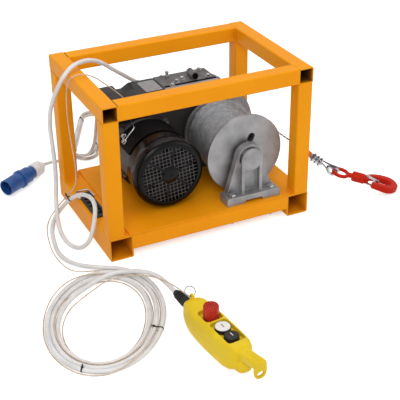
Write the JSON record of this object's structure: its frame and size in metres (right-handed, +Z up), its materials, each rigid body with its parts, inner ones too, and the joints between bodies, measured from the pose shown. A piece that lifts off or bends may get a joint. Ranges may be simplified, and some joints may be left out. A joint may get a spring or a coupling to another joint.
{
  "type": "electric winch",
  "caption": "Electric wire-rope winch in a welded square-tube frame: brake motor, spur gearbox, rope drum, swivel hook, push-button pendant on a cable and a mains lead with plug.",
  "frame": {"origin": "centre of the frame footprint, on the floor under the base tubes", "axes": "+X along the long side towards the rope and hook, +Y from the front rail to the rear rail, +Z up"},
  "size_m": [1.0758, 1.4036, 0.4278],
  "materials": {
    "orange_paint": "powder coat, satin",
    "black_sheet": "gloss black stove enamel",
    "motor_paint": "dark grey paint",
    "black_plastic": "moulded, fine grain",
    "cast_aluminium": "as cast, matt",
    "drum_steel": "turned",
    "rope_steel": "galvanised wire",
    "bright_steel": "zinc plated or ground",
    "core_iron": "bare",
    "hook_red": "red paint",
    "stop_orange": "moulded",
    "pendant_yellow": "moulded, satin",
    "knob_red": "moulded",
    "collar_blue": "moulded",
    "white_plastic": "moulded",
    "cable_white": "PVC sheath",
    "strain_steel": "stranded wire",
    "plug_blue": "moulded"
  },
  "bodies": {
    "winch": {"base_tube_left": "orange_paint", "base_tube_right": "orange_paint", "bearing_pedestal": "cast_aluminium", "brake_magnet": "core_iron", "cable_glands": "black_plastic", "capacitor_box": "black_plastic", "contact_blocks": "black_plastic", "control_box": "black_plastic", "control_box_lid": "black_plastic", "control_cable_coil": "cable_white", "control_cable_lower": "cable_white", "control_cable_upper": "cable_white", "corner_posts": "orange_paint", "deck_plate": "orange_paint", "estop_collar": "collar_blue", "fan_cowl": "black_sheet", "gearbox_cover": "cast_aluminium", "gearbox_housing": "cast_aluminium", "lower_cross_tubes": "orange_paint", "machine_bolts": "bright_steel", "mains_hank": "cable_white", "mains_lead_lower": "cable_white", "mains_lead_upper": "cable_white", "motor_end_shields": "motor_paint", "motor_housing": "motor_paint", "oil_filler_plug": "black_plastic", "panel_connector": "black_plastic", "pendant_back_shell": "pendant_yellow", "pendant_boot": "black_plastic", "pendant_front_shell": "pendant_yellow", "plug_body": "plug_blue", "plug_collar": "white_plastic", "rope_clips": "bright_steel", "rope_stop": "stop_orange", "rope_thimble": "bright_steel", "shaft_bearings": "bright_steel", "stator_core": "core_iron", "strain_wire_lower": "strain_steel", "strain_wire_upper": "strain_steel", "top_rails": "orange_paint", "wire_rope": "rope_steel"},
    "drum_set": {"drum": "drum_steel", "drum_shaft": "bright_steel", "drum_gear": "bright_steel", "rope_winding": "rope_steel"},
    "counter_set": {"countershaft": "bright_steel", "counter_gear": "bright_steel"},
    "rotor_set": {"motor_shaft": "bright_steel", "rotor_core": "core_iron", "cooling_fan": "black_plastic", "brake_disc": "core_iron"},
    "hook_link": {"hook_eye": "hook_red"},
    "hook": {"hook_body": "hook_red", "latch_pin": "bright_steel"},
    "latch": {"hook_latch": "bright_steel"},
    "stop_stem": {"estop_stem": "bright_steel"},
    "stop_knob": {"estop_cap": "knob_red"},
    "white_key": {"white_button": "white_plastic"},
    "black_key": {"black_button": "black_plastic"},
    "ring": {"pendant_ring": "bright_steel"}
  },
  "joints": [
    {"name": "drum_spin", "type": "hinge", "parent": "winch", "child": "drum_set", "pos_m": [0.122, 0, 0.177], "axis": [0, 1, 0], "continuous": true},
    {"name": "counter_spin", "type": "hinge", "parent": "winch", "child": "counter_set", "pos_m": [-0.00319, 0, 0.19126], "axis": [0, 1, 0], "continuous": true},
    {"name": "rotor_spin", "type": "hinge", "parent": "winch", "child": "rotor_set", "pos_m": [-0.08301, 0, 0.16205], "axis": [0, 1, 0], "continuous": true},
    {"name": "hook_swing", "type": "hinge", "parent": "winch", "child": "hook_link", "pos_m": [0.40572, -0.1074, 0.05068], "axis": [0.5592, 0.829, 0], "range_deg": [-65, 65]},
    {"name": "hook_swivel", "type": "hinge", "parent": "hook_link", "child": "hook", "pos_m": [0.40572, -0.1074, 0.05068], "axis": [0.8071, -0.5444, -0.2284], "continuous": true},
    {"name": "latch_open", "type": "hinge", "parent": "hook", "child": "latch", "pos_m": [0.48311, -0.15719, 0.0291], "axis": [0.1893, -0.1277, 0.9736], "range_deg": [0, 45], "stiffness_Nm_per_rad": 0.04, "springref_deg": -22.92},
    {"name": "estop_push", "type": "slide", "parent": "winch", "child": "stop_stem", "axis": [0, 0, -1], "range_m": [0, 0.004]},
    {"name": "estop_twist", "type": "hinge", "parent": "stop_stem", "child": "stop_knob", "pos_m": [-0.19197, -0.56742, 0.07], "axis": [0, 0, 1], "range_deg": [0, 40], "stiffness_Nm_per_rad": 0.05, "springref_deg": -5.73},
    {"name": "white_press", "type": "slide", "parent": "winch", "child": "white_key", "axis": [0, 0, -1], "range_m": [0, 0.004], "stiffness_N_per_m": 1000, "springref_m": -0.001},
    {"name": "black_press", "type": "slide", "parent": "winch", "child": "black_key", "axis": [0, 0, -1], "range_m": [0, 0.004], "stiffness_N_per_m": 1000, "springref_m": -0.001},
    {"name": "ring_swing", "type": "hinge", "parent": "winch", "child": "ring", "pos_m": [-0.20006, -0.49084, 0.07], "axis": [0.9945, 0.105, 0], "range_deg": [-40, 80]}
  ],
  "couplings": [
    {"joint": "counter_spin", "follows": "drum_spin", "ratio": -3.5},
    {"joint": "rotor_spin", "follows": "drum_spin", "ratio": 13.5}
  ]
}
